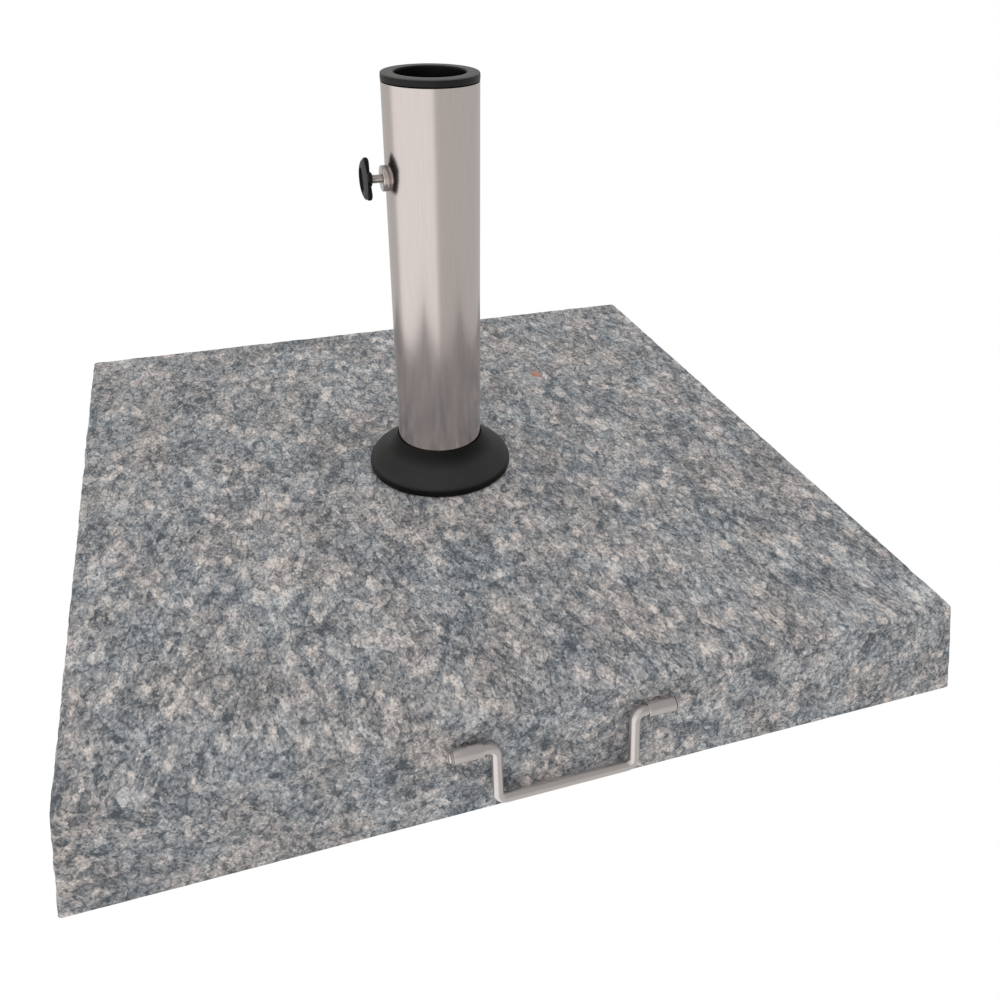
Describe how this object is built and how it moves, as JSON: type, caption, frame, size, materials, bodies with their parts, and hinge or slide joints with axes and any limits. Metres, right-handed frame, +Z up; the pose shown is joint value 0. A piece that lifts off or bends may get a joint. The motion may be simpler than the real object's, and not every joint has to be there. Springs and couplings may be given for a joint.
{
  "type": "parasol base",
  "caption": "Square granite slab with an upright stainless socket tube, side clamp screw, foot cover, fold-down carrying handle and rear rollers, for a garden parasol pole.",
  "frame": {"origin": "on the floor, on the axis of the socket tube, which is the middle of the slab", "axes": "+Z up along the socket tube, -Y to the front edge with the carrying handle, -X to the side with the clamp knob"},
  "size_m": [0.499, 0.5158, 0.3166],
  "materials": {
    "granite": "matte",
    "stainless": "satin",
    "zinc": "satin",
    "black_plastic": "satin",
    "grey_plastic": "matte",
    "rubber": "matte"
  },
  "bodies": {
    "base": {"axle_clip_left": "zinc", "axle_clip_right": "zinc", "bracket_screw_1": "zinc", "bracket_screw_2": "zinc", "bracket_screw_3": "zinc", "bracket_screw_4": "zinc", "clamp_boss": "stainless", "flange_bolt_1": "zinc", "flange_bolt_2": "zinc", "flange_bolt_3": "zinc", "flange_bolt_4": "zinc", "flange_nut_1": "zinc", "flange_nut_2": "zinc", "flange_nut_3": "zinc", "flange_nut_4": "zinc", "flange_washer_1": "zinc", "flange_washer_2": "zinc", "flange_washer_3": "zinc", "flange_washer_4": "zinc", "foot_flange": "stainless", "foot_pad_front_left": "rubber", "foot_pad_front_right": "rubber", "foot_pad_rear_left": "rubber", "foot_pad_rear_right": "rubber", "granite_slab": "granite", "handle_anchor_left": "grey_plastic", "handle_anchor_right": "grey_plastic", "handle_eye_left": "stainless", "handle_eye_right": "stainless", "pole_rest_cup": "black_plastic", "roller_axle_left": "zinc", "roller_axle_right": "zinc", "roller_bracket_left": "stainless", "roller_bracket_right": "stainless", "socket_tube": "stainless", "top_cap": "black_plastic"},
    "pressure_tip": {"pressure_tip": "black_plastic"},
    "clamp_screw": {"clamp_screw": "stainless", "clamp_knob": "black_plastic"},
    "handle": {"handle_bail": "stainless", "handle_clip_left": "stainless", "handle_clip_right": "stainless"},
    "foot_cover": {"foot_cover": "black_plastic"},
    "roller_left": {"roller_hub_left": "grey_plastic", "roller_tyre_left": "rubber"},
    "roller_right": {"roller_hub_right": "grey_plastic", "roller_tyre_right": "rubber"}
  },
  "joints": [
    {"name": "clamp_advance", "type": "slide", "parent": "base", "child": "pressure_tip", "axis": [1, 0, 0], "range_m": [-0.00072, 0.00505]},
    {"name": "clamp_turn", "type": "hinge", "parent": "pressure_tip", "child": "clamp_screw", "pos_m": [-0.036, 0, 0.2603], "axis": [1, 0, 0], "range_deg": [-315, 2250]},
    {"name": "handle_fold", "type": "hinge", "parent": "base", "child": "handle", "pos_m": [0, -0.2475, 0.0481], "axis": [-1, 0, 0], "range_deg": [-2, 184]},
    {"name": "cover_lift", "type": "slide", "parent": "base", "child": "foot_cover", "axis": [0, 0, 1], "range_m": [0, 0.16]},
    {"name": "roller_spin_left", "type": "hinge", "parent": "base", "child": "roller_left", "pos_m": [-0.175, 0.24, 0.0215], "axis": [1, 0, 0], "continuous": true},
    {"name": "roller_spin_right", "type": "hinge", "parent": "base", "child": "roller_right", "pos_m": [0.175, 0.24, 0.0215], "axis": [1, 0, 0], "continuous": true}
  ],
  "couplings": [
    {"joint": "clamp_advance", "follows": "clamp_turn", "m_per_rad": 0.00012732}
  ]
}
